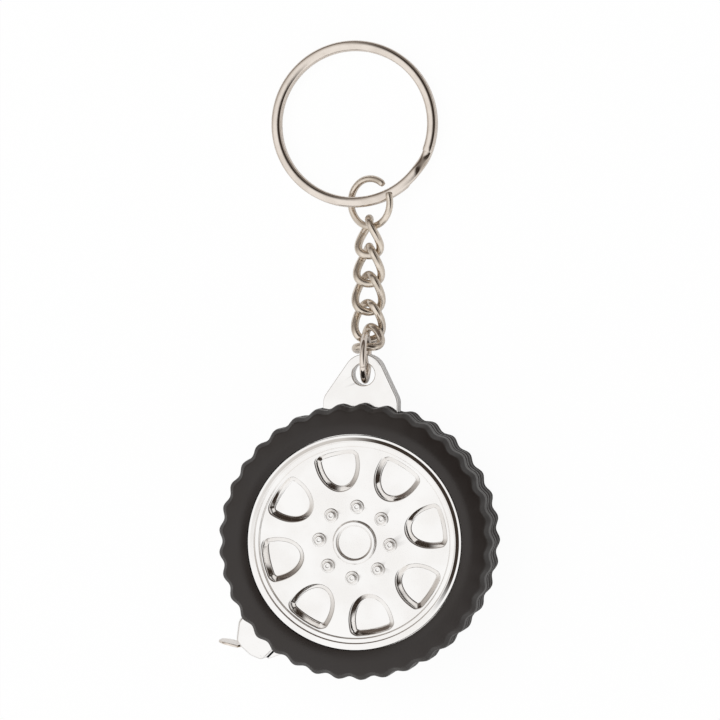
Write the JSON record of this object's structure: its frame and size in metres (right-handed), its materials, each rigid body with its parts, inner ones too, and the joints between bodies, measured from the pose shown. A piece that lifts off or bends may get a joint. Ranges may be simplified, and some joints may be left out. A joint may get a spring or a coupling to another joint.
{
  "type": "tape measure keychain",
  "caption": "Keychain tape measure shaped like a car wheel, with a curb chain and a split key ring.",
  "frame": {"origin": "centre of the rear hub face, on the wheel's axis, in the plane that it lies on", "axes": "+Z along the wheel's axis, from its back to its front; +Y from the wheel along the chain to the key ring; -X is the side where the tape pulls out"},
  "size_m": [0.0408, 0.0936, 0.014],
  "materials": {
    "tyre_plastic": "satin moulded black",
    "chrome_plating": "bright chrome on moulded plastic",
    "nickel_steel": "bright nickel on steel wire",
    "tape_blade": "yellow lacquer on thin spring steel",
    "reel_plastic": "plain moulded black",
    "spring_steel": "blued spring steel",
    "zinc_steel": "zinc plated"
  },
  "bodies": {
    "case": {"case_front": "chrome_plating", "case_rear": "chrome_plating", "tyre_front": "tyre_plastic", "tyre_rear": "tyre_plastic", "wheel_cap_front": "chrome_plating", "wheel_cap_rear": "chrome_plating", "centre_arbor": "reel_plastic", "centre_screw": "zinc_steel", "return_spring": "spring_steel"},
    "reel": {"tape_reel": "reel_plastic", "reel_cover": "reel_plastic", "tape_wound": "tape_blade"},
    "tape_end": {"tape_lead": "tape_blade", "pull_tab": "nickel_steel", "tab_rivet": "nickel_steel"},
    "lug_ring": {"lug_ring": "nickel_steel"},
    "link_5": {"chain_link_5": "nickel_steel"},
    "link_4": {"chain_link_4": "nickel_steel"},
    "link_3": {"chain_link_3": "nickel_steel"},
    "link_2": {"chain_link_2": "nickel_steel"},
    "link_1": {"chain_link_1": "nickel_steel"},
    "jump_ring": {"jump_ring": "nickel_steel"},
    "key_ring": {"key_ring": "nickel_steel"}
  },
  "joints": [
    {"name": "reel_spin", "type": "hinge", "parent": "case", "child": "reel", "pos_m": [0, 0, 0.007], "axis": [0, 0, 1], "range_deg": [-4100, 0], "stiffness_Nm_per_rad": 0.0002, "deforming": ["return_spring"]},
    {"name": "tape_pull", "type": "slide", "parent": "case", "child": "tape_end", "axis": [-0.9966, -0.0819, 0], "range_m": [0, 0.982]},
    {"name": "lug_ring_swing", "type": "hinge", "parent": "case", "child": "lug_ring", "pos_m": [0.0004, 0.02439, 0.007], "axis": [0, 0, 1], "range_deg": [-50, 50]},
    {"name": "link_5_tilt", "type": "hinge", "parent": "lug_ring", "child": "link_5", "pos_m": [0.00042, 0.02893, 0.0058], "axis": [1, 0, 0], "range_deg": [-24, 45]},
    {"name": "link_4_lift", "type": "hinge", "parent": "link_5", "child": "link_4", "pos_m": [-0.00013, 0.02957, 0.0016], "axis": [0.7878, 0.6159, 0], "range_deg": [-12, 42]},
    {"name": "link_3_swing", "type": "hinge", "parent": "link_4", "child": "link_3", "pos_m": [0.0001, 0.03406, 0.0024], "axis": [0, 0, 1], "range_deg": [-24, 28]},
    {"name": "link_2_lift", "type": "hinge", "parent": "link_3", "child": "link_2", "pos_m": [0.00011, 0.03821, 0.00236], "axis": [-1, 0, 0], "range_deg": [-24, 20]},
    {"name": "link_1_swing", "type": "hinge", "parent": "link_2", "child": "link_1", "pos_m": [0.00011, 0.04236, 0.00236], "axis": [0, 0, -1], "range_deg": [-22, 22]},
    {"name": "jump_ring_lift", "type": "hinge", "parent": "link_1", "child": "jump_ring", "pos_m": [0.00012, 0.04657, 0.00247], "axis": [1, 0, 0], "range_deg": [-15, 15]},
    {"name": "key_ring_swing", "type": "hinge", "parent": "jump_ring", "child": "key_ring", "pos_m": [0.00033, 0.04952, 0.00199], "axis": [-0.4851, -0.017, 0.8743], "range_deg": [-56, 44]}
  ],
  "couplings": [
    {"joint": "tape_pull", "follows": "reel_spin", "m_per_rad": -0.013723}
  ]
}
